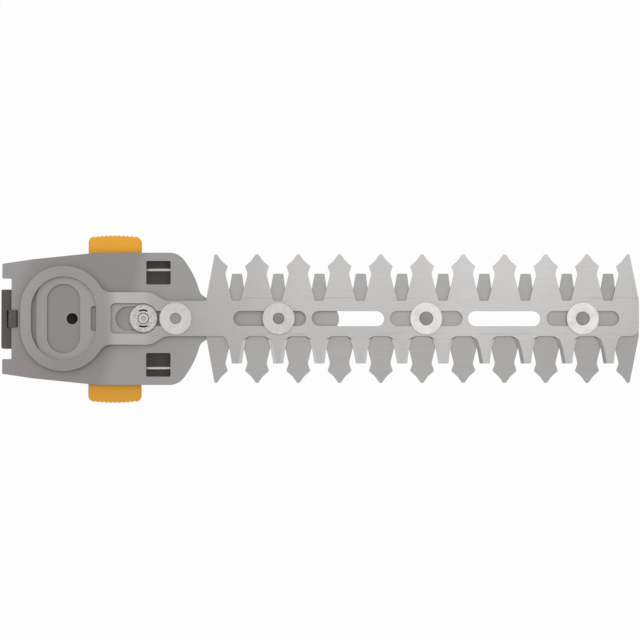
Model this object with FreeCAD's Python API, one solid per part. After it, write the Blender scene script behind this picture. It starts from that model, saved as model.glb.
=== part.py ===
import FreeCAD, Part
import math
import os

# Blade attachment of a battery shrub shear, in millimetres.
# The origin is the axis of the round drive hole, on the top face of the base plate.
# +X runs along the blades to their tip, +Y points to the long teeth of the upper blade,
# and +Z points to the side that clips onto the powered handle.

# Sheet thicknesses and running gaps
plate_t = 2.0
blade_t = 1.6
washer_t = 1.2
running_gap = 0.1
slide_gap = 0.2

# Blade stroke and the yoke holes that the two stacked eccentrics drive
stroke = 8.2
yoke_ring_w = 4.9
upper_yoke_x = -3.7
upper_yoke_half_w = 14.95
upper_yoke_half_h = 19.35
lower_yoke_x = -3.85
lower_yoke_half_w = 7.65
lower_yoke_half_h = 16.05
yoke_fillet_r = 6.0
yoke_raise = 1.2
raise_start_x = 18.4
raise_end_x = 35.3
raise_bend_r = 45.0

# Clearance holes of the lower blade round the clamp nut and behind its yoke ring
nut_hole_margin = 2.1
relief_length = 7.5
relief_half = 5.75
relief_corner_r = 1.4
pocket_corner_r = 2.2

# Neck between the yoke rings and the toothed bar
upper_neck_half = 12.05
lower_neck_half = 11.6
neck_step_x = 36.9
neck_step_length = 6.0
neck_step_r = 8.0

# Toothed bar
bar_half = 8.1
tooth_pitch = 19.0
long_tooth_count = 11
first_tip_x = 66.3
long_tooth_reach = 29.6
long_tip_half = 0.55
long_tip_r = 0.5
barb_y = 24.1
barb_half = 5.55
barb_r = 0.7
tip_hollow = 0.32
tip_hollow_r = 9.0
waist_y = 20.6
waist_half = 4.35
waist_r = 3.0
root_half = 7.5
gullet_r = 0.8
short_tooth_reach = 20.7
short_end_half = 2.3
short_end_r = 0.3
short_tooth_lean = 0.3
short_mid_y = 14.0
short_mid_half = 3.35
short_mid_r = 4.0
short_base_y = 9.7
short_base_half = 4.6
short_base_r = 1.0
short_gullet_half = 3.3
end_margin = 4.85
end_corner_r = 4.0
end_root_r = 3.0
outer_tooth_slant = 4.5
bevel_w = 1.5
edge_land = 0.8

# Guide slots in the blades
slot_w = 7.0
slot_web = 2.6
slot_count = 5
first_slot_x = 91.15
last_slot_margin = 25.95

# Base plate
plate_left_x = -28.0
horn_length = 4.25
horn_y0 = 18.6
horn_y1 = 25.4
horn_corner_r = 0.5
side_rear_x = -18.0
side_rear_half = 27.5
side_mid_x = 11.0
side_mid_half = 30.45
side_r = 60.0
shoulder_x = 49.3
shoulder_half = 30.55
shoulder_r = 8.5
flank_x = 56.5
flank_half = 19.9
flank_r = 38.0
throat_x = 59.1
throat_half = 11.45
throat_r = 4.0
tongue_start_x = 67.0
tongue_start_r = 8.0
tongue_half = 6.25
tongue_reach = 27.85
drive_hole_r = 2.6

# Latch windows and the bars that cross them
window_x0 = 34.15
window_x1 = 45.4
window_y0 = 15.8
window_y1 = 26.7
window_corner_r = 0.75
bar_r = 0.82
bar_y = 22.75
bar_depth = 4.0

# Clamp nut and screw
nut_x = 33.0
nut_flange_r = 6.65
nut_flange_t = 2.4
nut_rim = 0.7
nut_shoulder_r = 4.5
screw_r = 2.5
thread_gap = 0.05
screw_hole_gap = 0.2
screw_head_r = 4.6
screw_head_t = 3.4
screw_head_chamfer = 0.8
screw_head_gap = 0.4
screw_head_sink = 1.0
screw_tip_sink = 0.25
screw_tip_chamfer = 0.3
nut_slot_r = 3.8
nut_slot_w = 0.75
nut_slot_half_deg = 30.0
nut_countersink = 0.2
tip_socket_r = 1.4
tip_socket_depth = 1.2
head_socket_r = 2.3
head_socket_depth = 2.0

# Guide rivets, bushes and washers
neck_rivet_x = 47.85
fixed_pin_r = 2.55
moving_pin_r = 3.1
pin_gap = 0.05
bush_r = 3.35
washer_r = 7.45
washer_chamfer = 0.25
pin_proud = 0.3
pin_chamfer_w = 0.4
pin_chamfer_h = 0.3
rivet_head_r = 5.0
rivet_head_t = 1.2
rivet_head_chamfer = 0.6
dish_r = 4.9
dish_depth = 0.15

# Cover
cover_depth = 13.0
cover_wall = 2.0
cover_inset = 0.8
cover_front_x = 57.4
cover_corner_r = 4.0
cover_edge_r = 2.2
lip_x = -32.9
lip_half = 13.6
lip_drop = 0.6
lip_corner_r = 0.7
hook_half = 4.0
hook_reach = 2.9
hook_t = 1.2
hook_stem_t = 1.0
hook_stem_gap = 0.15
hook_groove_w = 1.2
hook_groove_depth = 4.5
boss_r = 6.4
rib_t = 3.2
rib_half_length = 5.0
rib_plate_gap = 0.6
peg_r = 1.9
peg_length = 2.0
rail_w = 2.2
rail_y0 = 8.0
rail_inset_x = 2.0
rail_stop_gap = 1.0

# Release buttons and their springs
button_x0 = 7.3
button_x1 = 31.6
button_proud = 8.25
button_crown = 0.9
button_corner_r = 2.7
button_edge_r = 1.0
button_inner_y = 11.5
button_height = 9.1
button_rib_pitch = 2.0
button_rib_count = 10
button_rib_r = 0.9
button_rib_depth = 0.4
button_gap = 0.3
button_head_gap = 0.4
stop_w = 1.4
stop_t = 1.8
stop_wall_gap = 0.1
arm_w = 3.5
lug_x0 = 46.0
lug_x1 = 49.0
lug_half_w = 1.75
lug_height = 4.5
bar_seat = 2.0
spring_x = 15.0
spring_outer_r = 3.0
spring_wire = 0.7
spring_turns = 6.5
spring_bore_r = 3.6
spring_bore_depth = 6.5
spring_end_gap = 0.05

# Heights worked out from the sheet thicknesses
plate_bottom = -plate_t
lower_z = running_gap
upper_z = lower_z + blade_t + running_gap
washer_z = upper_z + blade_t + running_gap
pin_top = washer_z + washer_t + pin_proud
nut_flange_z = upper_z
nut_top = nut_flange_z + nut_flange_t
cover_bottom = plate_bottom - cover_depth
cover_floor = cover_bottom + cover_wall
button_top = plate_bottom - button_head_gap
button_bottom = button_top - button_height
button_mid_z = (button_top + button_bottom) / 2

# Places that follow from the teeth, the stroke and the pins
long_tip_x = [first_tip_x + i * tooth_pitch for i in range(long_tooth_count)]
short_tip_x = [x + tooth_pitch / 2 for x in long_tip_x[:-1]]
bar_end_x = long_tip_x[-1] + end_margin
slot_pitch = (bar_end_x - last_slot_margin - first_slot_x) / (slot_count - 1)
slot_length = slot_pitch - slot_web
slot_x = [first_slot_x + i * slot_pitch for i in range(slot_count)]
front_rivet_x = first_slot_x + stroke / 2
mid_rivet_x = slot_x[slot_count // 2]
tip_rivet_x = slot_x[-1]
lower_slot_x = [x for x in slot_x if x not in (mid_rivet_x, tip_rivet_x)]
tongue_end_x = front_rivet_x + tongue_reach
pin_slot_end_x = neck_rivet_x + bush_r + slide_gap
button_reach = side_mid_half + button_proud
stop_x0 = button_x0 - stop_w
stop_x1 = button_x1 + stop_w
rear_rise = (side_mid_half - side_rear_half) / (side_mid_x - side_rear_x)
front_rise = (shoulder_half - side_mid_half) / (shoulder_x - side_mid_x)
stop_wall_y = side_mid_half - max(rear_rise * (side_mid_x - stop_x0), -front_rise * (stop_x1 - side_mid_x))
stop_y = stop_wall_y - cover_inset - cover_wall - stop_wall_gap


def vec(x, y, z=0.0):
    return FreeCAD.Vector(x, y, z)


def rounded_edges(corners, closed):
    """Lines through corners (x, y, radius), with an arc of its radius at each corner."""
    count = len(corners)
    points = [vec(c[0], c[1]) for c in corners]
    inner = range(count) if closed else range(1, count - 1)
    reach = [0.0] * count
    for i in inner:
        back = (points[i - 1] - points[i]).normalize()
        ahead = (points[(i + 1) % count] - points[i]).normalize()
        turn = math.pi - back.getAngle(ahead)
        reach[i] = corners[i][2] * math.tan(turn / 2)
    share = [1.0] * count
    for i in range(count if closed else count - 1):
        j = (i + 1) % count
        room = points[i].distanceToPoint(points[j])
        if reach[i] + reach[j] > room:
            share[i] = min(share[i], room / (reach[i] + reach[j]))
            share[j] = min(share[j], room / (reach[i] + reach[j]))
    edges = []
    starts = list(points)
    ends = list(points)
    arcs = [None] * count
    for i in inner:
        cut = reach[i] * share[i]
        if cut < 1e-4:
            continue
        back = (points[i - 1] - points[i]).normalize()
        ahead = (points[(i + 1) % count] - points[i]).normalize()
        starts[i] = points[i] + back * cut
        ends[i] = points[i] + ahead * cut
        half = back.getAngle(ahead) / 2
        bisector = (back + ahead).normalize()
        radius = cut * math.tan(half)
        middle = points[i] + bisector * (radius / math.sin(half) - radius)
        arcs[i] = Part.Arc(starts[i], middle, ends[i]).toShape()
    for i in range(count):
        if arcs[i] is not None:
            edges.append(arcs[i])
        j = (i + 1) % count
        if j == 0 and not closed:
            continue
        if ends[i].distanceToPoint(starts[j]) > 1e-4:
            edges.append(Part.LineSegment(ends[i], starts[j]).toShape())
    return edges


def prism(edges, z0, z1):
    """Closed outline in the XY plane, raised from z0 to z1."""
    face = Part.Face(Part.Wire(Part.__sortEdges__(edges)))
    face.translate(vec(0, 0, z0))
    return face.extrude(vec(0, 0, z1 - z0))


def rounded_plate(x0, x1, y0, y1, r, z0, z1):
    corners = [(x0, y0, r), (x1, y0, r), (x1, y1, r), (x0, y1, r)]
    return prism(rounded_edges(corners, True), z0, z1)


def block(x0, x1, y0, y1, z0, z1):
    low_y = min(y0, y1)
    return Part.makeBox(x1 - x0, abs(y1 - y0), z1 - z0, vec(x0, low_y, z0))


def cylinder(x, y, r, z0, z1):
    return Part.makeCylinder(r, z1 - z0, vec(x, y, z0))


def revolved(profile, x, y):
    """Solid turned about the vertical line through (x, y) from (radius, z) points."""
    points = [vec(r, 0, z) for r, z in profile]
    points.append(points[0])
    face = Part.Face(Part.makePolygon(points))
    solid = face.revolve(vec(0, 0, 0), vec(0, 0, 1), 360)
    solid.translate(vec(x, y, 0))
    return solid


def mirrored(shape):
    """The same shape on the other side of the X axis."""
    return shape.mirror(vec(0, 0, 0), vec(0, 1, 0))


def flipped(corners):
    return [(x, -y, r) for x, y, r in reversed(corners)]


# Blades


def yoke_ring_edges(yoke_x, half_w, half_h, neck_half):
    """Ring outline from the neck's lower side round the left to its upper side."""
    ring_r = half_w + yoke_ring_w
    arc_y = half_h - half_w
    reach_y = neck_half + yoke_fillet_r - arc_y
    fillet_x = yoke_x + math.sqrt((ring_r + yoke_fillet_r) ** 2 - reach_y ** 2)
    start_angle = math.atan2(reach_y, fillet_x - yoke_x)
    edges = []
    for side in (1, -1):
        centre = vec(yoke_x, side * arc_y)
        fillet_centre = vec(fillet_x, side * (neck_half + yoke_fillet_r))
        on_neck = vec(fillet_x, side * neck_half)
        on_ring = centre + (fillet_centre - centre).normalize() * ring_r
        middle_way = (on_neck + on_ring) * 0.5 - fillet_centre
        between = fillet_centre + middle_way.normalize() * yoke_fillet_r
        edges.append(Part.Arc(on_neck, between, on_ring).toShape())
        middle_angle = (start_angle + math.pi) / 2
        middle = centre + vec(ring_r * math.cos(middle_angle), side * ring_r * math.sin(middle_angle))
        left = vec(yoke_x - ring_r, side * arc_y)
        edges.append(Part.Arc(on_ring, middle, left).toShape())
    edges.append(Part.LineSegment(vec(yoke_x - ring_r, arc_y), vec(yoke_x - ring_r, -arc_y)).toShape())
    return fillet_x, edges


def neck_corners(start_x, neck_half):
    """Upper edge of the neck, from the ring to the start of the toothed bar."""
    return [
        (start_x, neck_half, 0),
        (neck_step_x, neck_half, neck_step_r),
        (neck_step_x + neck_step_length, bar_half, neck_step_r),
    ]


def long_tooth_side(tip_x, side):
    """One flank of a long tooth, from the gullet to the tip, on the right for side 1."""
    middle_half = (barb_half + long_tip_half) / 2 - tip_hollow
    middle_y = (barb_y + long_tooth_reach) / 2 - tip_hollow
    return [
        (tip_x + side * root_half, bar_half, gullet_r),
        (tip_x + side * waist_half, waist_y, waist_r),
        (tip_x + side * barb_half, barb_y, barb_r),
        (tip_x + side * middle_half, middle_y, tip_hollow_r),
        (tip_x + side * long_tip_half, long_tooth_reach, long_tip_r),
    ]


def long_side_corners():
    """Long teeth from the right end of the bar to its left end."""
    last = long_tip_x[-1]
    first = long_tip_x[0]
    corners = [
        (bar_end_x, bar_half, end_root_r),
        (last + long_tip_half, long_tooth_reach, long_tip_r),
    ]
    corners += reversed(long_tooth_side(last, -1))
    for tip_x in reversed(long_tip_x[1:-1]):
        corners += long_tooth_side(tip_x, 1)
        corners += reversed(long_tooth_side(tip_x, -1))
    corners += long_tooth_side(first, 1)
    corners.append((first - long_tip_half, long_tooth_reach, long_tip_r))
    corners.append((first - outer_tooth_slant, bar_half, gullet_r))
    return corners


def lean_at(y):
    """Shift along X of a short tooth's flanks at the distance y from the blade's axis."""
    return short_tooth_lean * (y - bar_half) / (short_tooth_reach - bar_half)


def short_side_corners():
    """Short teeth from the left end of the bar to its right end."""
    corners = []
    for x in short_tip_x:
        gullet = tooth_pitch / 2 - short_gullet_half
        half_widths = [
            (gullet, bar_half, gullet_r),
            (short_base_half, short_base_y, short_base_r),
            (short_mid_half, short_mid_y, short_mid_r),
            (short_end_half, short_tooth_reach, short_end_r),
        ]
        for half, y, r in half_widths:
            corners.append((x - half + lean_at(y), -y, r))
        for half, y, r in reversed(half_widths):
            corners.append((x + half + lean_at(y), -y, r))
    corners.append((bar_end_x, -bar_half, end_corner_r))
    return corners


def bevel_outline(gap_x, grow, reach, z):
    """Outline of one gap between short teeth, its flanks grown by the bevel's width."""
    half = tooth_pitch / 2
    right = [
        (short_gullet_half, bar_half),
        (half - short_base_half + grow, short_base_y),
        (half - short_mid_half + grow, short_mid_y),
        (half - short_end_half + grow, short_tooth_reach),
        (half - short_end_half + grow, reach),
    ]
    points = [vec(gap_x + lean_at(y) + x, -y, z) for x, y in right]
    points += [vec(gap_x + lean_at(y) - x, -y, z) for x, y in reversed(right)]
    points.append(points[0])
    return Part.makePolygon(points)


def edge_bevels():
    """Cutters that grind the flanks of the short teeth down to a thin edge land."""
    reach = short_tooth_reach + bevel_w
    top = 1.25 * blade_t
    grow = bevel_w * (top - edge_land) / (blade_t - edge_land)
    cutters = []
    for gap_x in long_tip_x[1:-1]:
        low = bevel_outline(gap_x, 0.0, reach, edge_land)
        high = bevel_outline(gap_x, grow, reach, top)
        cutters.append(Part.makeLoft([low, high], True, True))
    return cutters


def toothed_outline(yoke_x, half_w, half_h, neck_half):
    fillet_x, edges = yoke_ring_edges(yoke_x, half_w, half_h, neck_half)
    neck = neck_corners(fillet_x, neck_half)
    path = [(x, -y, r) for x, y, r in neck]
    path += short_side_corners()
    path += long_side_corners()
    path += reversed(neck)
    return edges + rounded_edges(path, False)


def guide_slot(x, z0, z1):
    half = slot_length / 2
    return rounded_plate(x - half, x + half, -slot_w / 2, slot_w / 2, slot_w / 2, z0, z1)


def yoke_hole(yoke_x, half_w, half_h, z0, z1):
    return rounded_plate(yoke_x - half_w, yoke_x + half_w, -half_h, half_h, half_w, z0, z1)


def pin_slot(z0, z1):
    """Narrow slot that runs from the nut's pocket past the neck rivet."""
    half = slot_w / 2
    return rounded_plate(nut_x, pin_slot_end_x, -half, half, half, z0, z1)


def upper_blade():
    low = upper_z - 1.0
    high = upper_z + yoke_raise + blade_t + 1.0
    outline = toothed_outline(upper_yoke_x, upper_yoke_half_w, upper_yoke_half_h, upper_neck_half)
    blade = prism(outline, low, high)
    side_view = [
        (upper_yoke_x - 2 * upper_yoke_half_w, upper_z + yoke_raise, 0),
        (raise_start_x, upper_z + yoke_raise, raise_bend_r),
        (raise_end_x, upper_z, raise_bend_r),
        (bar_end_x + 1.0, upper_z, 0),
    ]
    section = side_view + [(x, z + blade_t, r) for x, z, r in reversed(side_view)]
    beyond = 1.5 * long_tooth_reach
    sheet = prism(rounded_edges(section, True), -beyond, beyond)
    sheet.rotate(vec(0, 0, 0), vec(1, 0, 0), 90)
    blade = blade.common(sheet)
    pocket_half = nut_flange_r + 2 * slide_gap
    pocket_x0 = nut_x - nut_flange_r - stroke - slide_gap
    pocket_x1 = nut_x + nut_flange_r + slide_gap
    pocket_corners = [
        (pocket_x0, -pocket_half, pocket_corner_r),
        (pocket_x1, -pocket_half, pocket_half),
        (pocket_x1, pocket_half, pocket_half),
        (pocket_x0, pocket_half, pocket_corner_r),
    ]
    cutters = [
        yoke_hole(upper_yoke_x, upper_yoke_half_w, upper_yoke_half_h, low, high),
        prism(rounded_edges(pocket_corners, True), low, high),
        pin_slot(low, high),
    ]
    cutters += [guide_slot(x, low, high) for x in slot_x]
    for cutter in edge_bevels():
        cutter.translate(vec(0, 0, upper_z))
        cutters.append(cutter)
    return blade.cut(cutters)


def lower_blade():
    low = lower_z
    high = lower_z + blade_t
    outline = toothed_outline(lower_yoke_x, lower_yoke_half_w, lower_yoke_half_h, lower_neck_half)
    blade = mirrored(prism(outline, low, high))
    nut_slot_half = slot_w / 2 + nut_hole_margin
    nut_slot_x0 = nut_x - nut_shoulder_r - stroke - slide_gap
    nut_slot_x1 = nut_x + nut_shoulder_r + slide_gap
    relief_x0 = lower_yoke_x + lower_yoke_half_w + yoke_ring_w
    relief_x1 = relief_x0 + relief_length
    cutters = [
        yoke_hole(lower_yoke_x, lower_yoke_half_w, lower_yoke_half_h, low - 1, high + 1),
        rounded_plate(
            nut_slot_x0, nut_slot_x1, -nut_slot_half, nut_slot_half, nut_slot_half, low - 1, high + 1
        ),
        rounded_plate(
            relief_x0, relief_x1, -relief_half, relief_half, relief_corner_r, low - 1, high + 1
        ),
        pin_slot(low - 1, high + 1),
    ]
    cutters += [guide_slot(x, low - 1, high + 1) for x in lower_slot_x]
    for x in (mid_rivet_x, tip_rivet_x):
        cutters.append(cylinder(x, 0, moving_pin_r + slide_gap + pin_gap, low - 1, high + 1))
    for cutter in edge_bevels():
        cutter.rotate(vec(0, 0, 0), vec(1, 0, 0), 180)
        cutter.translate(vec(0, 0, lower_z + blade_t))
        cutters.append(cutter)
    return blade.cut(cutters)


# Base plate


def plate_side_corners():
    """Upper edge of the plate's wide part, from the left to the tongue's throat."""
    return [
        (side_rear_x, side_rear_half, side_r),
        (side_mid_x, side_mid_half, side_r),
        (shoulder_x, shoulder_half, shoulder_r),
        (flank_x, flank_half, flank_r),
    ]


def base_plate():
    side = [
        (plate_left_x, 0.0, 0),
        (plate_left_x, horn_y0, horn_corner_r),
        (plate_left_x - horn_length, horn_y0, horn_corner_r),
        (plate_left_x - horn_length, horn_y1, horn_corner_r),
    ]
    side += plate_side_corners()
    side += [
        (throat_x, throat_half, throat_r),
        (tongue_start_x, tongue_half, tongue_start_r),
        (tongue_end_x, tongue_half, tongue_half),
    ]
    corners = side[1:] + flipped(side[1:])
    plate = prism(rounded_edges(corners, True), plate_bottom, 0.0)
    low = plate_bottom - 1
    holes = [
        cylinder(0, 0, drive_hole_r, low, 1),
        cylinder(nut_x, 0, screw_r + screw_hole_gap, low, 1),
        cylinder(neck_rivet_x, 0, fixed_pin_r + pin_gap, low, 1),
        cylinder(front_rivet_x, 0, fixed_pin_r + pin_gap, low, 1),
    ]
    window = rounded_plate(window_x0, window_x1, window_y0, window_y1, window_corner_r, low, 1)
    holes += [window, mirrored(window)]
    return plate.cut(holes)


# Fasteners


def guide_washer(x, pin_r, dished):
    top = washer_z + washer_t
    hole_r = pin_r + pin_gap
    profile = [
        (hole_r, washer_z),
        (washer_r, washer_z),
        (washer_r, top - washer_chamfer),
        (washer_r - washer_chamfer, top),
    ]
    if dished:
        profile += [(dish_r, top), (hole_r, top - dish_depth)]
    else:
        profile.append((hole_r, top))
    return revolved(profile, x, 0)


def fixed_rivet(x):
    """Rivet through the plate, bush and washer, with its head under the plate."""
    head_z = plate_bottom - rivet_head_t
    profile = [
        (0, head_z),
        (rivet_head_r - rivet_head_chamfer, head_z),
        (rivet_head_r, head_z + rivet_head_chamfer),
        (rivet_head_r, plate_bottom),
        (fixed_pin_r, plate_bottom),
        (fixed_pin_r, pin_top - pin_chamfer_h),
        (fixed_pin_r - pin_chamfer_w, pin_top),
        (0, pin_top),
    ]
    return revolved(profile, x, 0)


def guide_bush(x):
    profile = [
        (fixed_pin_r + pin_gap, 0.0),
        (bush_r, 0.0),
        (bush_r, washer_z),
        (fixed_pin_r + pin_gap, washer_z),
    ]
    return revolved(profile, x, 0)


def moving_rivet(x):
    """Shouldered rivet that carries a washer on the lower blade."""
    head_z = lower_z - rivet_head_t
    shoulder_pin_r = moving_pin_r + slide_gap
    profile = [
        (0, head_z),
        (rivet_head_r - rivet_head_chamfer, head_z),
        (rivet_head_r, head_z + rivet_head_chamfer),
        (rivet_head_r, lower_z),
        (shoulder_pin_r, lower_z),
        (shoulder_pin_r, washer_z),
        (moving_pin_r, washer_z),
        (moving_pin_r, pin_top - pin_chamfer_h),
        (moving_pin_r - pin_chamfer_w, pin_top),
        (0, pin_top),
    ]
    return revolved(profile, x, 0)


def hexagon(x, r, z0, z1):
    points = [
        vec(x + r * math.cos(math.radians(a)), r * math.sin(math.radians(a)), z0)
        for a in range(0, 361, 60)
    ]
    return Part.Face(Part.makePolygon(points)).extrude(vec(0, 0, z1 - z0))


def clamp_nut():
    bore_r = screw_r + thread_gap
    profile = [
        (bore_r, 0.0),
        (nut_shoulder_r, 0.0),
        (nut_shoulder_r, nut_flange_z),
        (nut_flange_r, nut_flange_z),
        (nut_flange_r, nut_top - nut_rim),
        (nut_flange_r - 0.3 * nut_rim, nut_top - 0.4 * nut_rim),
        (nut_flange_r - nut_rim, nut_top),
        (bore_r + nut_countersink, nut_top),
        (bore_r, nut_top - nut_countersink),
    ]
    nut = revolved(profile, nut_x, 0)
    outer = cylinder(nut_x, 0, nut_slot_r + nut_slot_w / 2, nut_flange_z, nut_top + 1)
    ring = outer.cut(cylinder(nut_x, 0, nut_slot_r - nut_slot_w / 2, nut_flange_z, nut_top + 1))
    reach = 2 * nut_flange_r
    spread = reach * math.tan(math.radians(nut_slot_half_deg))
    for side in (1, -1):
        points = [
            vec(nut_x, 0, nut_flange_z),
            vec(nut_x + spread, side * reach, nut_flange_z),
            vec(nut_x - spread, side * reach, nut_flange_z),
            vec(nut_x, 0, nut_flange_z),
        ]
        wedge = Part.Face(Part.makePolygon(points)).extrude(vec(0, 0, 2 * nut_flange_t))
        nut = nut.cut(ring.common(wedge))
    return nut


def screw_seat_z():
    """Underside of the web that the screw head pulls against."""
    return cover_bottom + screw_head_t + screw_head_sink


def clamp_screw():
    seat_z = screw_seat_z()
    head_z = seat_z - screw_head_t
    tip_z = nut_top - screw_tip_sink
    profile = [
        (0, head_z),
        (screw_head_r - screw_head_chamfer, head_z),
        (screw_head_r, head_z + screw_head_chamfer),
        (screw_head_r, seat_z),
        (screw_r, seat_z),
        (screw_r, tip_z - screw_tip_chamfer),
        (screw_r - screw_tip_chamfer, tip_z),
        (0, tip_z),
    ]
    screw = revolved(profile, nut_x, 0)
    tip_socket = hexagon(nut_x, tip_socket_r, tip_z - tip_socket_depth, tip_z + 1)
    head_socket = hexagon(nut_x, head_socket_r, head_z - 1, head_z + head_socket_depth)
    return screw.cut([tip_socket, head_socket])


# Cover


def cover_face(inset):
    corners = [(plate_left_x, horn_y1, cover_corner_r)]
    corners += plate_side_corners()
    slope = (flank_half - throat_half) / (throat_x - flank_x)
    front_half = flank_half - slope * (cover_front_x - flank_x)
    corners.append((cover_front_x, front_half, 0))
    wire = Part.Wire(Part.__sortEdges__(rounded_edges(corners + flipped(corners), True)))
    return Part.Face(wire).makeOffset2D(-inset)


def cover():
    outer = cover_face(cover_inset)
    outer.translate(vec(0, 0, cover_bottom))
    shell = outer.extrude(vec(0, 0, cover_depth))
    bottom_edges = [e for e in shell.Edges if e.BoundBox.ZMax < cover_bottom + 0.01]
    shell = shell.makeFillet(cover_edge_r, bottom_edges)
    inner = cover_face(cover_inset + cover_wall)
    inner.translate(vec(0, 0, cover_floor))
    shell = shell.cut(inner.extrude(vec(0, 0, cover_depth)))

    lip_top = plate_bottom - lip_drop
    lip_x1 = plate_left_x + cover_inset + cover_wall
    lip_bottom = cover_floor
    lip = rounded_plate(lip_x, lip_x1, -lip_half, lip_half, lip_corner_r, lip_bottom, lip_top)
    lip_end = plate_left_x + cover_inset
    lip_front = block(lip_x - 1, lip_end, -lip_half - 1, lip_half + 1, lip_bottom, lip_top)
    shell = shell.fuse(lip.common(lip_front))

    stem_x1 = plate_left_x - hook_stem_gap
    stem_x0 = stem_x1 - hook_stem_t
    groove_z = lip_top - hook_groove_depth
    groove = block(stem_x0 - hook_groove_w, stem_x0, -hook_half, hook_half, groove_z, lip_top + 1)
    shell = shell.cut(groove)
    nose_z = running_gap
    nose_x = plate_left_x + hook_reach
    profile = [
        vec(stem_x0, -hook_half, lip_top - 0.5),
        vec(stem_x1, -hook_half, lip_top - 0.5),
        vec(stem_x1, -hook_half, nose_z),
        vec(nose_x, -hook_half, nose_z),
        vec(nose_x, -hook_half, nose_z + 0.5 * hook_t),
        vec(nose_x - 0.6 * hook_t, -hook_half, nose_z + hook_t),
        vec(stem_x0 + 0.3, -hook_half, nose_z + hook_t),
        vec(stem_x0, -hook_half, nose_z + hook_t - 0.3),
        vec(stem_x0, -hook_half, lip_top - 0.5),
    ]
    hook = Part.Face(Part.makePolygon(profile)).extrude(vec(0, 2 * hook_half, 0))

    boss = cylinder(nut_x, 0, boss_r, cover_floor - 0.5, plate_bottom)
    rib_x0 = spring_x - rib_half_length
    rib_x1 = spring_x + rib_half_length
    rib_top = plate_bottom - rib_plate_gap
    rib = block(rib_x0, rib_x1, -rib_t / 2, rib_t / 2, cover_floor - 0.5, rib_top)
    peg_reach = rib_t / 2 + peg_length
    pegs = Part.makeCylinder(peg_r, 2 * peg_reach, vec(spring_x, -peg_reach, button_mid_z), vec(0, 1, 0))
    rails = []
    rail_top = button_bottom - running_gap
    for x in (button_x0 + rail_inset_x, button_x1 - rail_inset_x - rail_w):
        rail = block(x, x + rail_w, rail_y0, stop_y - rail_stop_gap, cover_floor - 0.5, rail_top)
        rails += [rail, mirrored(rail)]
    shell = shell.fuse([hook, boss, rib, pegs] + rails)

    doorway = block(
        button_x0 - button_gap, button_x1 + button_gap, stop_y, button_reach, rail_top - 0.1, 1.0
    )
    seat_z = screw_seat_z()
    cutters = [
        doorway,
        mirrored(doorway),
        cylinder(nut_x, 0, screw_r + screw_hole_gap, cover_bottom - 1, 1),
        cylinder(nut_x, 0, screw_head_r + screw_head_gap, cover_bottom - 1, seat_z),
    ]
    return shell.cut(cutters).removeSplitter()


# Release buttons


def left_button():
    corner_y = button_reach - button_crown
    middle_x = (button_x0 + button_x1) / 2
    half = (button_x1 - button_x0) / 2
    crown_r = (half ** 2 + button_crown ** 2) / (2 * button_crown)
    left = Part.LineSegment(vec(button_x0, button_inner_y), vec(button_x0, corner_y)).toShape()
    crown = Part.Arc(
        vec(button_x0, corner_y), vec(middle_x, button_reach), vec(button_x1, corner_y)
    ).toShape()
    right = Part.LineSegment(vec(button_x1, corner_y), vec(button_x1, button_inner_y)).toShape()
    back = Part.LineSegment(vec(button_x1, button_inner_y), vec(button_x0, button_inner_y)).toShape()
    body = prism([left, crown, right, back], button_bottom, button_top)
    corner_edges = [
        e
        for e in body.Edges
        if e.BoundBox.YMin > corner_y - 0.01 and e.BoundBox.ZLength > button_height - 0.01
    ]
    body = body.makeFillet(button_corner_r, corner_edges)
    rim_edges = [
        e
        for e in body.Edges
        if e.BoundBox.YMin > corner_y - button_corner_r - 0.01 and e.BoundBox.ZLength < 0.01
    ]
    body = body.makeFillet(button_edge_r, rim_edges)

    crown_y = button_reach - crown_r
    ribs = []
    for i in range(button_rib_count):
        x = middle_x + (i - (button_rib_count - 1) / 2) * button_rib_pitch
        face_y = crown_y + math.sqrt(crown_r ** 2 - (x - middle_x) ** 2)
        groove_y = face_y + button_rib_r - button_rib_depth
        ribs.append(cylinder(x, groove_y, button_rib_r, button_bottom - 1, button_top + 1))
    body = body.cut(ribs)

    stop = block(stop_x0, stop_x1, stop_y - stop_t, stop_y - slide_gap, button_bottom, button_top)
    arm = block(button_x1 - 1.0, lug_x1, button_inner_y, button_inner_y + arm_w, button_bottom, button_top)
    lug = block(lug_x0, lug_x1, button_inner_y, bar_y + lug_half_w, button_top - lug_height, button_top)
    body = body.fuse([stop, arm, lug])
    bar_start = vec(button_x1 - bar_seat, bar_y, -bar_depth)
    bar_room = lug_x1 - button_x1 + bar_seat + 1
    bar_hole = Part.makeCylinder(bar_r + pin_gap, bar_room, bar_start, vec(1, 0, 0))
    spring_bore = Part.makeCylinder(
        spring_bore_r, spring_bore_depth, vec(spring_x, button_inner_y, button_mid_z), vec(0, 1, 0)
    )
    return body.cut([bar_hole, spring_bore]).removeSplitter()


def left_latch_bar():
    x0 = button_x1 - bar_seat + pin_gap
    return Part.makeCylinder(bar_r, lug_x1 - x0, vec(x0, bar_y, -bar_depth), vec(1, 0, 0))


def left_button_spring():
    start_y = rib_t / 2 + spring_end_gap
    end_y = button_inner_y + spring_bore_depth - spring_end_gap
    coil_r = spring_outer_r - spring_wire / 2
    height = end_y - start_y - spring_wire
    helix = Part.makeHelix(height / spring_turns, height, coil_r)
    section = Part.Wire(Part.makeCircle(spring_wire / 2, vec(coil_r, 0, 0), vec(0, 1, 0)))
    coil = Part.Wire(helix.Edges).makePipeShell([section], True, True)
    coil.rotate(vec(0, 0, 0), vec(1, 0, 0), -90)
    coil.translate(vec(spring_x, start_y + spring_wire / 2, button_mid_z))
    return coil


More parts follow.
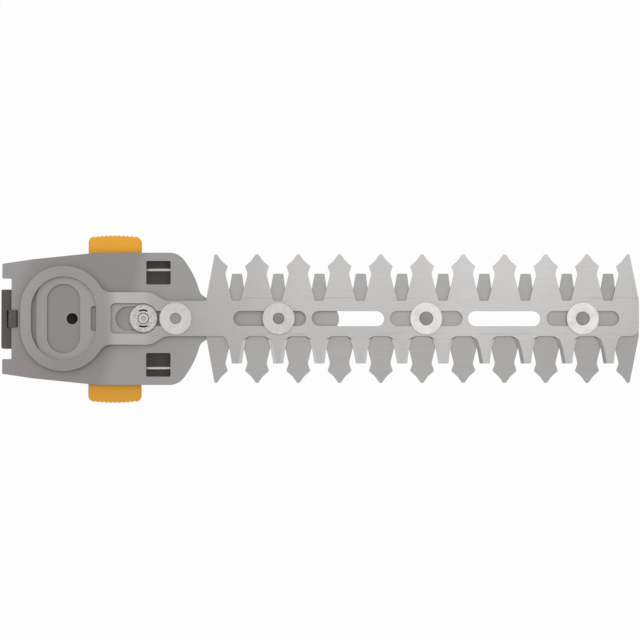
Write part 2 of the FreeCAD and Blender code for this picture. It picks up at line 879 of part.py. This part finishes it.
def build():
    button = left_button()
    bar = left_latch_bar()
    spring = left_button_spring()
    return {
        "cover": cover(),
        "base_plate": base_plate(),
        "lower_blade": lower_blade(),
        "upper_blade": upper_blade(),
        "neck_guide_rivet": fixed_rivet(neck_rivet_x),
        "neck_guide_bush": guide_bush(neck_rivet_x),
        "neck_guide_washer": guide_washer(neck_rivet_x, fixed_pin_r, False),
        "front_guide_rivet": fixed_rivet(front_rivet_x),
        "front_guide_bush": guide_bush(front_rivet_x),
        "front_guide_washer": guide_washer(front_rivet_x, fixed_pin_r, True),
        "mid_guide_rivet": moving_rivet(mid_rivet_x),
        "mid_guide_washer": guide_washer(mid_rivet_x, moving_pin_r, True),
        "tip_guide_rivet": moving_rivet(tip_rivet_x),
        "tip_guide_washer": guide_washer(tip_rivet_x, moving_pin_r, True),
        "clamp_nut": clamp_nut(),
        "clamp_screw": clamp_screw(),
        "left_button": button,
        "right_button": mirrored(button),
        "left_latch_bar": bar,
        "right_latch_bar": mirrored(bar),
        "left_button_spring": spring,
        "right_button_spring": mirrored(spring),
    }


os.makedirs("parts", exist_ok=True)
for name, shape in build().items():
    shape.exportStep("parts/" + name + ".step")
    print(name, len(shape.Solids), shape.isValid(), round(shape.Volume, 1))
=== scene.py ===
import math

import bmesh
import bpy
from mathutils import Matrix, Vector


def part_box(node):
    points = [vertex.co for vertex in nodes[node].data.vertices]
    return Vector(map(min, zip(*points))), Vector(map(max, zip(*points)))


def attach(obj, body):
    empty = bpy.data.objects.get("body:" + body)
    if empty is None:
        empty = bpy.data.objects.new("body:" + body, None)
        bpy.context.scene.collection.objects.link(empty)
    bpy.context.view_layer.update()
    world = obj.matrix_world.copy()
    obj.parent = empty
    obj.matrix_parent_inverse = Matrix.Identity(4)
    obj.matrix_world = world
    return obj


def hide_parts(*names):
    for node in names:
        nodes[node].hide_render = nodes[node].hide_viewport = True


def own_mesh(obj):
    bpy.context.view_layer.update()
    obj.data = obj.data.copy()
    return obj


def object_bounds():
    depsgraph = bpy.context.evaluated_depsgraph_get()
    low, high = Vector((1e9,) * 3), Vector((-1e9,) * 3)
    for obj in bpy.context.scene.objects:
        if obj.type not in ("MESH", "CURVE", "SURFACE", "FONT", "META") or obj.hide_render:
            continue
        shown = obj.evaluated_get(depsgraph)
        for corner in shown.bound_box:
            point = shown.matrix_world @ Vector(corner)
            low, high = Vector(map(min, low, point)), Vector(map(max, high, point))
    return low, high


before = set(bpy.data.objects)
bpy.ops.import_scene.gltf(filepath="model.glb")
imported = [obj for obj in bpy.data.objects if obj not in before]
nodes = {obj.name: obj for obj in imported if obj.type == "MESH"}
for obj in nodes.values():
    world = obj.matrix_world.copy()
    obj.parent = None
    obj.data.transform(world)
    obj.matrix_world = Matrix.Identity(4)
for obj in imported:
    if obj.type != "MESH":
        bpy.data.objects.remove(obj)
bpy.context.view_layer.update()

# Lengths are in metres unless a name says otherwise.
MM = 0.001

# The photograph: the width it shows at the object, the point in its middle, and the camera
PHOTO_WIDTH = 0.29485
PHOTO_CENTRE = Vector((0.11430, -0.00064, 0.0017))
CAMERA_TILT = math.radians(2.0)
CAMERA_LENS_MM = 200.0
SENSOR_MM = 36.0
CAMERA_CLIP = (0.01, 50.0)

# Colours

WHITE = (1.0, 1.0, 1.0, 1.0)


def linear(red, green, blue):
    """Linear colour of an sRGB colour given in 0 to 255."""
    channels = []
    for value in (red, green, blue):
        c = value / 255.0
        channels.append(c / 12.92 if c <= 0.04045 else ((c + 0.055) / 1.055) ** 2.4)
    return (*channels, 1.0)


def grey(level):
    """A steel grey with this red in 0 to 255, a touch warmer than neutral."""
    return linear(level, level - 1.6, level - 3.0)


# Node helpers


class Graph:
    """A small builder for one material's nodes."""

    def __init__(self, name):
        self.material = bpy.data.materials.new(name)
        self.material.use_nodes = True
        self.tree = self.material.node_tree
        self.tree.nodes.clear()
        self.output = self.add("ShaderNodeOutputMaterial")
        places = self.add("ShaderNodeTexCoord")
        self.coords = places.outputs["Object"]
        self.normals = places.outputs["Normal"]

    def add(self, kind, **settings):
        node = self.tree.nodes.new(kind)
        for key, value in settings.items():
            setattr(node, key, value)
        return node

    def link(self, source, target):
        self.tree.links.new(source, target)

    def plug(self, value, socket):
        """A link from another socket, or a constant set on this one."""
        if isinstance(value, bpy.types.NodeSocket):
            self.link(value, socket)
        else:
            socket.default_value = value

    def noise(self, cells, detail, rough=0.5, rotation=(0.0, 0.0, 0.0)):
        """Noise with so many cells a metre along each axis."""
        mapping = self.add("ShaderNodeMapping")
        mapping.inputs["Scale"].default_value = cells
        mapping.inputs["Rotation"].default_value = rotation
        self.link(self.coords, mapping.inputs["Vector"])
        node = self.add("ShaderNodeTexNoise")
        node.inputs["Scale"].default_value = 1.0
        node.inputs["Detail"].default_value = detail
        node.inputs["Roughness"].default_value = rough
        self.link(mapping.outputs["Vector"], node.inputs["Vector"])
        return node.outputs["Fac"]

    def math(self, operation, a, b=0.0):
        node = self.add("ShaderNodeMath", operation=operation)
        self.plug(a, node.inputs[0])
        self.plug(b, node.inputs[1])
        return node.outputs[0]

    def span(self, value, low, high, to_low, to_high, interpolation="LINEAR"):
        """value taken from low..high to to_low..to_high, and held at the ends."""
        node = self.add("ShaderNodeMapRange", interpolation_type=interpolation)
        self.link(value, node.inputs["Value"])
        ends = {"From Min": low, "From Max": high, "To Min": to_low, "To Max": to_high}
        for key, number in ends.items():
            node.inputs[key].default_value = number
        return node.outputs["Result"]

    def mix(self, factor, a, b):
        node = self.add("ShaderNodeMix", data_type="RGBA")
        self.plug(factor, node.inputs["Factor"])
        self.plug(a, node.inputs["A"])
        self.plug(b, node.inputs["B"])
        return node.outputs["Result"]

    def tint(self, tone, pattern, between, share, colour):
        """tone with colour mixed in, up to this share as pattern rises between two values."""
        return self.mix(self.span(pattern, *between, 0.0, share), tone, colour)

    def axis(self, letter, vector=None):
        """One coordinate of a vector, or else of the place on the object."""
        node = self.add("ShaderNodeSeparateXYZ")
        self.link(self.coords if vector is None else vector, node.inputs["Vector"])
        return node.outputs[letter]

    def ramp(self, value, stops):
        """Colours at the stops (value, colour), blended between them."""
        low, high = stops[0][0], stops[-1][0]
        node = self.add("ShaderNodeValToRGB")
        elements = node.color_ramp.elements
        while len(elements) < len(stops):
            elements.new(1.0)
        for element, (place, colour) in zip(elements, stops):
            element.position = (place - low) / (high - low)
            element.color = colour
        self.link(self.span(value, low, high, 0.0, 1.0), node.inputs["Fac"])
        return node.outputs["Color"]

    def bump(self, height, strength, distance):
        node = self.add("ShaderNodeBump")
        node.inputs["Strength"].default_value = strength
        node.inputs["Distance"].default_value = distance
        self.link(height, node.inputs["Height"])
        return node.outputs["Normal"]

    def finish(self, colour, roughness, metallic, normal, specular=0.5):
        shader = self.add("ShaderNodeBsdfPrincipled")
        self.link(colour, shader.inputs["Base Color"])
        self.link(roughness, shader.inputs["Roughness"])
        shader.inputs["Metallic"].default_value = metallic
        shader.inputs["Specular IOR Level"].default_value = specular
        self.link(normal, shader.inputs["Normal"])
        self.link(shader.outputs["BSDF"], self.output.inputs["Surface"])
        return self.material


# Kinds of material
#
# A noise is given as its cells a metre along X, Y and Z, its detail, its roughness and its
# rotation. A flatness is the Z of a face's normal: 1 for a face that looks up, 0 for a wall.

NOISE_RANGE = (0.3, 0.7)  # most values of a noise lie in here

SHEET_METALLIC = 0.82
SHEET_HALF_WIDTH = 0.022
# Painted shade: the colour the sheet darkens towards at its -Y side, as if lit from +Y
SHEET_PAINTED_SHADE_TONE = linear(60, 58, 56)
SHEET_CLOUD = ((28.0, 45.0, 45.0), 4.0, 0.6)
SHEET_CLOUD_SHARE = 0.10
SHEET_CLOUD_TONE = linear(112, 110, 108)
SHEET_FIBRE = ((90.0, 2600.0, 900.0), 4.0, 0.65)
SHEET_FIBRE_RANGE = (0.35, 0.7)
SHEET_FIBRE_SHARE = 0.10
SHEET_FIBRE_TONE = linear(98, 96, 94)
SHEET_FIBRE_HEIGHT = 0.7
SHEET_SCRATCH = ((160.0, 5200.0, 800.0), 2.0, 0.5, (0.0, 0.0, 0.12))
SHEET_SCRATCH_RANGE = (0.70, 0.76)
SHEET_SCRATCH_SHARE = 0.12
SHEET_SCRATCH_TONE = linear(205, 204, 202)
SHEET_SCRATCH_HEIGHT = 0.3
SHEET_ROUGH_SPREAD = 0.02
SHEET_BUMP = (0.05, 0.00003)

WORN_LINE_START_X = (0.055, 0.075)
WORN_LINE_TONE = linear(90, 88, 86)
WORN_PATCHES = ((55.0, 300.0, 10.0), 2.0)
WORN_PATCH_RANGE = (0.45, 0.62)

# Walls of the sheet are darker: partly the cut edge's own finish, partly painted shade
CUT_EDGE_AND_SHADE_TONE = linear(112, 110, 108)
CUT_EDGE_FLATNESS = (0.3, 0.6)
# Ground bevels take a painted reflection, darker on flanks that face the handle near the tip
BEVEL_LEAST_FLATNESS = (0.78, 0.84)
BEVEL_MOST_FLATNESS = (0.93, 0.97)
FACES_HANDLE_X = -0.1  # a normal with less X than this faces the handle
BEVEL_REFLECTION_DARKENS_OVER = 0.012


def sheet_steel(name, stops, rough, grain, slant=0.0, fall=0.0, lines=(), ground=None):
    """Rolled sheet with a fine grain and faint scratches along X, painted light and shade, and
    darker cut edges.

    stops are its tones (X, colour), its grey with painted light and shade along the blade, and
    slant is how far they lean, in X for each Y. grain scales the clouds, fibres and scratches.
    fall is painted shade: how much darker it gets towards its -Y side. lines are worn lines
    along X: Y, half width, darkness. ground holds the colour of its ground bevels with a
    painted reflection, the darker painted reflection of those that face the handle near the
    tip, and the X where that is reached. The cut edges' darker tone is partly painted shade.
    """
    g = Graph(name)
    x = g.axis("X")
    y = g.axis("Y")
    # Tones along X: the steel's grey with painted light and shade across the blade
    tone = g.ramp(g.math("SUBTRACT", x, g.math("MULTIPLY", y, slant)), stops)
    # Painted shade towards -Y, as if the light came from +Y
    painted_side_shade = g.span(y, -SHEET_HALF_WIDTH, SHEET_HALF_WIDTH, fall, 0.0)
    tone = g.mix(painted_side_shade, tone, SHEET_PAINTED_SHADE_TONE)
    cloud = g.noise(*SHEET_CLOUD)
    tone = g.tint(tone, cloud, NOISE_RANGE, SHEET_CLOUD_SHARE * grain, SHEET_CLOUD_TONE)
    fibre = g.noise(*SHEET_FIBRE)
    tone = g.tint(tone, fibre, SHEET_FIBRE_RANGE, SHEET_FIBRE_SHARE * grain, SHEET_FIBRE_TONE)
    scratch = g.noise(*SHEET_SCRATCH)
    scratch_share = SHEET_SCRATCH_SHARE * grain
    tone = g.tint(tone, scratch, SHEET_SCRATCH_RANGE, scratch_share, SHEET_SCRATCH_TONE)
    for line_y, half_width, darkness in lines:
        off = g.math("ABSOLUTE", g.math("SUBTRACT", y, line_y))
        band = g.span(off, 0.0, half_width, 1.0, 0.0, "SMOOTHSTEP")
        band = g.math("MULTIPLY", band, g.span(x, *WORN_LINE_START_X, 0.0, 1.0))
        patches = g.span(g.noise(*WORN_PATCHES), *WORN_PATCH_RANGE, 0.0, darkness)
        tone = g.mix(g.math("MULTIPLY", band, patches), tone, WORN_LINE_TONE)
    flatness = g.axis("Z", g.normals)
    # Walls: the cut edge tone, partly painted shade
    cut_edge_and_shade = g.span(g.math("ABSOLUTE", flatness), *CUT_EDGE_FLATNESS, 1.0, 0.0)
    tone = g.mix(cut_edge_and_shade, tone, CUT_EDGE_AND_SHADE_TONE)
    # Painted reflection on the ground bevels, darker on handle-facing flanks near the tip
    if ground is not None:
        light, dark, dark_x = ground
        faces_handle = g.math("LESS_THAN", g.axis("X", g.normals), FACES_HANDLE_X)
        near_tip = g.span(x, dark_x - BEVEL_REFLECTION_DARKENS_OVER, dark_x, 0.0, 1.0)
        bevel_painted_reflection = g.mix(g.math("MULTIPLY", faces_handle, near_tip), light, dark)
        above_edge = g.span(flatness, *BEVEL_LEAST_FLATNESS, 0.0, 1.0)
        below_flat = g.span(flatness, *BEVEL_MOST_FLATNESS, 1.0, 0.0)
        tone = g.mix(g.math("MULTIPLY", above_edge, below_flat), tone, bevel_painted_reflection)
    roughness = g.span(
        fibre, *NOISE_RANGE, rough - SHEET_ROUGH_SPREAD, rough + SHEET_ROUGH_SPREAD
    )
    fibre_height = g.math("MULTIPLY", fibre, SHEET_FIBRE_HEIGHT)
    scratch_height = g.math("MULTIPLY", scratch, SHEET_SCRATCH_HEIGHT)
    relief = g.bump(g.math("ADD", fibre_height, scratch_height), *SHEET_BUMP)
    return g.finish(tone, roughness, SHEET_METALLIC, relief)


TURNED_METALLIC = 0.85
TURNED_CLOUD = ((300.0, 300.0, 300.0), 4.0, 0.6)
TURNED_CLOUD_SHARE = 0.12
TURNED_CLOUD_TONE = linear(120, 118, 115)
TURNED_GRAIN_ROUGHNESS = (3.0, 0.6)  # detail and roughness, at any count of cells
TURNED_GRAIN_RANGE = (0.4, 0.75)
TURNED_GRAIN_SHARE = 0.10
TURNED_GRAIN_TONE = linear(92, 90, 86)
TURNED_ROUGH_BELOW = 0.05
TURNED_ROUGH_ABOVE = 0.07
TURNED_BUMP_STRENGTH = 0.2
TURNED_BUMP_DEPTH = 0.00006


def turned_steel(name, colour, rough, speckle=0.0, cells=2200.0, recess=None):
    """Turned or stamped small parts: soft mottling and a blasted grain, and painted shade in a
    round recess.

    colour is one colour, or stops (X, colour) where painted light and shade change the tone
    along the blades. speckle is how much stronger the grain is than the least, and cells is its
    count of cells a metre. recess holds the recess's X, its inner and outer radius, the height
    it lies below and the colour of its painted shade.
    """
    g = Graph(name)
    cloud = g.noise(*TURNED_CLOUD)
    # A ramp along X is painted light and shade
    base = g.ramp(g.axis("X"), colour) if isinstance(colour, list) else colour
    tone = g.tint(base, cloud, NOISE_RANGE, TURNED_CLOUD_SHARE, TURNED_CLOUD_TONE)
    grain = g.noise((cells, cells, cells), *TURNED_GRAIN_ROUGHNESS)
    grain_share = TURNED_GRAIN_SHARE + speckle
    tone = g.tint(tone, grain, TURNED_GRAIN_RANGE, grain_share, TURNED_GRAIN_TONE)
    # Painted shade in the recess: a ring below the given height
    if recess is not None:
        centre_x, inner_r, outer_r, top_z, painted_shade_colour = recess
        across = g.math("SUBTRACT", g.axis("X"), centre_x)
        squares = g.math("ADD", g.math("POWER", across, 2.0), g.math("POWER", g.axis("Y"), 2.0))
        radius = g.math("SQRT", squares)
        outside = g.math("GREATER_THAN", radius, inner_r)
        ring = g.math("MULTIPLY", outside, g.math("LESS_THAN", radius, outer_r))
        deep = g.math("LESS_THAN", g.axis("Z"), top_z)
        tone = g.mix(g.math("MULTIPLY", ring, deep), tone, painted_shade_colour)
    roughness = g.span(
        cloud, *NOISE_RANGE, rough - TURNED_ROUGH_BELOW, rough + TURNED_ROUGH_ABOVE
    )
    relief = g.bump(grain, TURNED_BUMP_STRENGTH + speckle, TURNED_BUMP_DEPTH)
    return g.finish(tone, roughness, TURNED_METALLIC, relief)


PLASTIC_HALF_WIDTH = 0.03
PLASTIC_CLOUD = ((60.0, 60.0, 60.0), 3.0, 0.5)
PLASTIC_CLOUD_SHARE = 0.35
PLASTIC_GRAIN = ((2400.0, 2400.0, 2400.0), 3.0, 0.6)
PLASTIC_GRAIN_RANGE = (0.35, 0.7)
PLASTIC_GRAIN_SHARE = 0.12
PLASTIC_ROUGH_SPREAD = 0.06
PLASTIC_BUMP = (0.22, 0.00005)
PLASTIC_SPECULAR = 0.4
RECESS_FLOOR_FLATNESS = 0.5


def moulded_plastic(name, low_side, high_side, rough, floors=()):
    """Matt moulded plastic with a fine eroded grain, and painted light and shade.

    low_side and high_side are its colour and its mottle shade at -Y and at +Y; where they
    differ, the blend across Y is painted light and shade. floors are recess floors painted
    paler: their lowest and highest Z, and their painted light.
    """
    g = Graph(name)
    # Where the two sides differ, the blend across Y is painted light and shade
    across = g.span(g.axis("Y"), -PLASTIC_HALF_WIDTH, PLASTIC_HALF_WIDTH, 0.0, 1.0)
    colour = g.mix(across, low_side[0], high_side[0])
    shade = g.mix(across, low_side[1], high_side[1])
    cloud = g.noise(*PLASTIC_CLOUD)
    grain = g.noise(*PLASTIC_GRAIN)
    tone = g.tint(colour, cloud, NOISE_RANGE, PLASTIC_CLOUD_SHARE, shade)
    tone = g.tint(tone, grain, PLASTIC_GRAIN_RANGE, PLASTIC_GRAIN_SHARE, shade)
    looks_up = g.math("GREATER_THAN", g.axis("Z", g.normals), RECESS_FLOOR_FLATNESS)
    # Recess floors painted paler: painted light
    for lowest, highest, painted_light in floors:
        below = g.math("LESS_THAN", g.axis("Z"), highest)
        level = g.math("MULTIPLY", g.math("GREATER_THAN", g.axis("Z"), lowest), below)
        tone = g.mix(g.math("MULTIPLY", looks_up, level), tone, painted_light)
    roughness = g.span(
        grain, *NOISE_RANGE, rough - PLASTIC_ROUGH_SPREAD, rough + PLASTIC_ROUGH_SPREAD
    )
    return g.finish(tone, roughness, 0.0, g.bump(grain, *PLASTIC_BUMP), PLASTIC_SPECULAR)


# The part's materials

# Painted light and shade: the upper blade's grey with the reflections it shows along X
UPPER_TONES_WITH_PAINTED_LIGHT = [
    (-0.025, grey(156)),
    (-0.005, grey(145)),
    (0.015, grey(148)),
    (0.021, grey(165)),
    (0.045, grey(162)),
    (0.060, grey(169)),
    (0.082, grey(172)),
    (0.105, grey(180)),
    (0.146, grey(176)),
    (0.165, grey(178)),
    (0.183, grey(182)),
    (0.215, grey(180)),
    (0.260, grey(174)),
]
# The upper blade: painted shade towards -Y and painted reflections on its ground bevels
UPPER_STEEL = sheet_steel(
    "upper_blade_steel",
    UPPER_TONES_WITH_PAINTED_LIGHT,
    rough=0.36,
    grain=0.6,
    fall=0.12,
    lines=((0.0095, 0.00035, 0.3), (-0.0071, 0.0003, 0.3)),
    ground=(grey(196), grey(150), 0.183),
)

# Painted light and shade: the lower blade's grey with the reflections it shows along X
LOWER_TONES_WITH_PAINTED_LIGHT = [
    (-0.020, grey(148)),
    (0.020, grey(155)),
    (0.090, grey(160)),
    (0.170, grey(156)),
    (0.260, grey(150)),
]
LOWER_STEEL = sheet_steel("lower_blade_steel", LOWER_TONES_WITH_PAINTED_LIGHT, rough=0.38, grain=0.6)

# Painted reflection and shade: the plate's grey, browner and darker from its end past the
# rings, lighter beyond
PLATE_TONES_WITH_PAINTED_LIGHT = [
    (-0.032, grey(151)),
    (-0.026, linear(144, 138, 138)),
    (-0.005, linear(138, 135, 133)),
    (0.021, linear(138, 134, 133)),
    (0.027, linear(151, 149, 147)),
    (0.045, grey(149)),
    (0.120, grey(164)),
]
PLATE_STEEL = sheet_steel("plate_steel", PLATE_TONES_WITH_PAINTED_LIGHT, rough=0.42, grain=0.7, slant=0.33)

# Painted light: the same washers, lighter towards +X
WASHER_TONES_WITH_PAINTED_LIGHT = [(0.100, grey(205)), (0.155, grey(225)), (0.250, grey(226))]
WASHER_STEEL = turned_steel("washer_steel", WASHER_TONES_WITH_PAINTED_LIGHT, rough=0.53)

# Painted light and shade: the same rivet ends take a different tone at each place along X
RIVET_TONES_WITH_PAINTED_LIGHT = [(0.050, grey(145)), (0.090, grey(129)), (0.250, grey(138))]
RIVET_STEEL = turned_steel("rivet_steel", RIVET_TONES_WITH_PAINTED_LIGHT, rough=0.42, speckle=0.1)

BUSH_STEEL = turned_steel("bush_steel", linear(131, 129, 127), rough=0.45)

CLAMP_X = 0.033
# Painted shade in the nut's slots, below its top
NUT_SLOT_PAINTED_SHADE = (CLAMP_X, 0.0033, 0.0043, 0.0041, linear(30, 29, 28))
NUT_STEEL = turned_steel(
    "nut_steel", linear(197, 195, 192), rough=0.40, speckle=0.45, cells=1100.0, recess=NUT_SLOT_PAINTED_SHADE
)
# Painted shade in the screw's socket
SCREW_SOCKET_PAINTED_SHADE = (CLAMP_X, 0.0, 0.0013, 0.0036, linear(176, 174, 172))
SCREW_STEEL = turned_steel(
    "screw_steel", linear(199, 197, 194), rough=0.40, speckle=0.2, recess=SCREW_SOCKET_PAINTED_SHADE
)

BAR_STEEL = turned_steel("bar_steel", linear(219, 217, 214), rough=0.54)
SPRING_STEEL = turned_steel("spring_steel", linear(163, 163, 162), rough=0.35)

COVER_SHADES = (linear(88, 86, 83), linear(69, 67, 63))
# Painted light: paler floors under the latch windows and in the groove
WINDOW_FLOOR_PAINTED_LIGHT = (-0.0160, -0.0080, linear(131, 132, 133))
GROOVE_FLOOR_PAINTED_LIGHT = (-0.0073, -0.0069, linear(188, 187, 186))
COVER_PLASTIC = moulded_plastic(
    "cover_plastic", COVER_SHADES, COVER_SHADES, rough=0.55, floors=(WINDOW_FLOOR_PAINTED_LIGHT, GROOVE_FLOOR_PAINTED_LIGHT)
)

# Painted light and shade: the buttons lighter at +Y and darker at -Y
AMBER_PAINTED_SHADE_SIDE = (linear(224, 158, 39), linear(212, 145, 29))
AMBER_PAINTED_LIT_SIDE = (linear(243, 172, 43), linear(230, 159, 32))
BUTTON_PLASTIC = moulded_plastic("button_plastic", AMBER_PAINTED_SHADE_SIDE, AMBER_PAINTED_LIT_SIDE, rough=0.5)

FINISHES = {
    "cover": COVER_PLASTIC,
    "base_plate": PLATE_STEEL,
    "lower_blade": LOWER_STEEL,
    "upper_blade": UPPER_STEEL,
    "neck_guide_rivet": RIVET_STEEL,
    "neck_guide_bush": BUSH_STEEL,
    "neck_guide_washer": WASHER_STEEL,
    "front_guide_rivet": RIVET_STEEL,
    "front_guide_bush": BUSH_STEEL,
    "front_guide_washer": WASHER_STEEL,
    "mid_guide_rivet": RIVET_STEEL,
    "mid_guide_washer": WASHER_STEEL,
    "tip_guide_rivet": RIVET_STEEL,
    "tip_guide_washer": WASHER_STEEL,
    "clamp_nut": NUT_STEEL,
    "clamp_screw": SCREW_STEEL,
    "left_button": BUTTON_PLASTIC,
    "right_button": BUTTON_PLASTIC,
    "left_latch_bar": BAR_STEEL,
    "right_latch_bar": BAR_STEEL,
}

for node_name, finish in FINISHES.items():
    mesh = nodes[node_name].data
    mesh.materials.clear()
    mesh.materials.append(finish)


# Small rounded edges on the base plate, the lower blade and the moulded parts

EDGE_ROUNDING_MM = {
    "base_plate": 0.18,
    "lower_blade": 0.10,
    "cover": 0.25,
    "left_button": 0.25,
    "right_button": 0.25,
}
WELD_DISTANCE = 0.002 * MM
ROUNDING_ANGLE_LIMIT = math.radians(30.0)
ROUNDING_SEGMENTS = 2


def round_edges(node, radius):
    weld = node.modifiers.new("weld", "WELD")
    weld.merge_threshold = WELD_DISTANCE
    bevel = node.modifiers.new("edges", "BEVEL")
    bevel.limit_method = "ANGLE"
    bevel.angle_limit = ROUNDING_ANGLE_LIMIT
    bevel.width = radius
    bevel.segments = ROUNDING_SEGMENTS


for node_name, radius_mm in EDGE_ROUNDING_MM.items():
    round_edges(nodes[node_name], radius_mm * MM)


# Button springs, drawn as coils in place of the part's springs

COIL_TURNS = 6.5
WIRE_R = 0.35 * MM
RINGS_PER_TURN = 28
WIRE_SIDES = 16


def coil_spring(name, node):
    """A coil between the ends of node's box, held at the end nearer the part's middle."""
    low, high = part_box(node)
    middle = (low + high) / 2
    away = math.copysign(1.0, middle.y)
    length = high.y - low.y
    fixed = Vector((middle.x, middle.y - away * length / 2, middle.z))
    coil_r = (high.x - low.x) / 2 - WIRE_R
    along = Vector((0.0, away, 0.0))
    last = round(COIL_TURNS * RINGS_PER_TURN)
    bm = bmesh.new()
    rings = []
    for step in range(last + 1):
        turn = math.tau * step / RINGS_PER_TURN
        outward = Vector((math.cos(turn), 0.0, math.sin(turn)))
        reach = WIRE_R + (length - 2 * WIRE_R) * step / last
        centre = fixed + along * reach + outward * coil_r
        ring = []
        for side in range(WIRE_SIDES):
            angle = math.tau * side / WIRE_SIDES
            direction = math.cos(angle) * outward + math.sin(angle) * along
            ring.append(bm.verts.new(centre + WIRE_R * direction))
        rings.append(ring)
    for ring, after in zip(rings, rings[1:]):
        for side in range(WIRE_SIDES):
            turned = (side + 1) % WIRE_SIDES
            bm.faces.new((ring[side], ring[turned], after[turned], after[side]))
    bm.faces.new(rings[0])
    bm.faces.new(rings[-1])
    bmesh.ops.recalc_face_normals(bm, faces=bm.faces)
    mesh = bpy.data.meshes.new(name)
    bm.to_mesh(mesh)
    bm.free()
    mesh.shade_smooth()
    mesh.materials.append(SPRING_STEEL)
    coil = bpy.data.objects.new(name, mesh)
    bpy.context.scene.collection.objects.link(coil)
    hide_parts(node)
    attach(coil, "base")
    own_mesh(coil)


coil_spring("left_coil", "left_button_spring")
coil_spring("right_coil", "right_button_spring")


# Floor and world: white for the camera and in reflections, plain light for the object

FLOOR_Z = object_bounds()[0].z
FLOOR_HALF = 6.0
FLOOR_COLOUR = (0.85, 0.85, 0.85, 1.0)
FLOOR_GLOW_SHARE = 0.96  # the rest of the floor's look is its colour, with the shadow
BACKDROP_STRENGTH = 1.0
WORLD_STRENGTH = 0.88


def sees_backdrop(tree):
    """1 for the rays that see the white backdrop, 0 for those that light the object."""
    path = tree.nodes.new("ShaderNodeLightPath")
    seen = path.outputs["Is Camera Ray"]
    for kind in ("Is Glossy Ray", "Is Transmission Ray"):
        either = tree.nodes.new("ShaderNodeMath")
        either.operation = "MAXIMUM"
        tree.links.new(seen, either.inputs[0])
        tree.links.new(path.outputs[kind], either.inputs[1])
        seen = either.outputs[0]
    return seen


def pale_floor():
    g = Graph("floor_white")
    matt = g.add("ShaderNodeBsdfDiffuse")
    matt.inputs["Color"].default_value = FLOOR_COLOUR
    glow = g.add("ShaderNodeEmission")
    glow.inputs["Color"].default_value = WHITE
    glow.inputs["Strength"].default_value = BACKDROP_STRENGTH
    blend = g.add("ShaderNodeMixShader")
    g.link(g.math("MULTIPLY", sees_backdrop(g.tree), FLOOR_GLOW_SHARE), blend.inputs["Fac"])
    g.link(matt.outputs[0], blend.inputs[1])
    g.link(glow.outputs[0], blend.inputs[2])
    g.link(blend.outputs[0], g.output.inputs["Surface"])
    return g.material


def make_floor():
    mesh = bpy.data.meshes.new("floor")
    signs = [(-1, -1), (1, -1), (1, 1), (-1, 1)]
    corners = [(x * FLOOR_HALF, y * FLOOR_HALF, FLOOR_Z) for x, y in signs]
    mesh.from_pydata(corners, [], [(0, 1, 2, 3)])
    floor = bpy.data.objects.new("floor", mesh)
    bpy.context.scene.collection.objects.link(floor)
    mesh.materials.append(pale_floor())


def make_world():
    world = bpy.data.worlds.new("studio")
    bpy.context.scene.world = world
    world.use_nodes = True
    tree = world.node_tree
    tree.nodes.clear()
    output = tree.nodes.new("ShaderNodeOutputWorld")
    blend = tree.nodes.new("ShaderNodeMixShader")
    tree.links.new(sees_backdrop(tree), blend.inputs["Fac"])
    for socket, strength in ((1, WORLD_STRENGTH), (2, BACKDROP_STRENGTH)):
        background = tree.nodes.new("ShaderNodeBackground")
        background.inputs["Color"].default_value = WHITE
        background.inputs["Strength"].default_value = strength
        tree.links.new(background.outputs[0], blend.inputs[socket])
    tree.links.new(blend.outputs[0], output.inputs["Surface"])


# Lamps and camera

LAMP_TARGET = Vector((0.11, 0.0, 0.0))
# Name, place, diameter and watts
LAMPS = (
    ("key", Vector((0.08, 0.55, 1.45)), 0.50, 0.5),
    ("top", Vector((0.29, 0.10, 1.50)), 0.24, 0.7),
)


def area_light(name, place, size, watts):
    data = bpy.data.lights.new(name, "AREA")
    data.shape = "DISK"
    data.size = size
    data.energy = watts
    lamp = bpy.data.objects.new(name, data)
    lamp.location = place
    lamp.rotation_euler = (LAMP_TARGET - place).to_track_quat("-Z", "Y").to_euler()
    bpy.context.scene.collection.objects.link(lamp)


def make_camera():
    data = bpy.data.cameras.new("camera")
    data.lens = CAMERA_LENS_MM
    data.sensor_width = SENSOR_MM
    data.clip_start, data.clip_end = CAMERA_CLIP
    camera = bpy.data.objects.new("camera", data)
    distance = PHOTO_WIDTH * CAMERA_LENS_MM / SENSOR_MM
    backward = Vector((0.0, -math.sin(CAMERA_TILT), math.cos(CAMERA_TILT)))
    camera.location = PHOTO_CENTRE + distance * backward
    camera.rotation_euler = (CAMERA_TILT, 0.0, 0.0)
    bpy.context.scene.collection.objects.link(camera)
    bpy.context.scene.camera = camera


make_floor()
make_world()
for lamp_settings in LAMPS:
    area_light(*lamp_settings)
make_camera()
bpy.context.scene.view_settings.view_transform = "Standard"
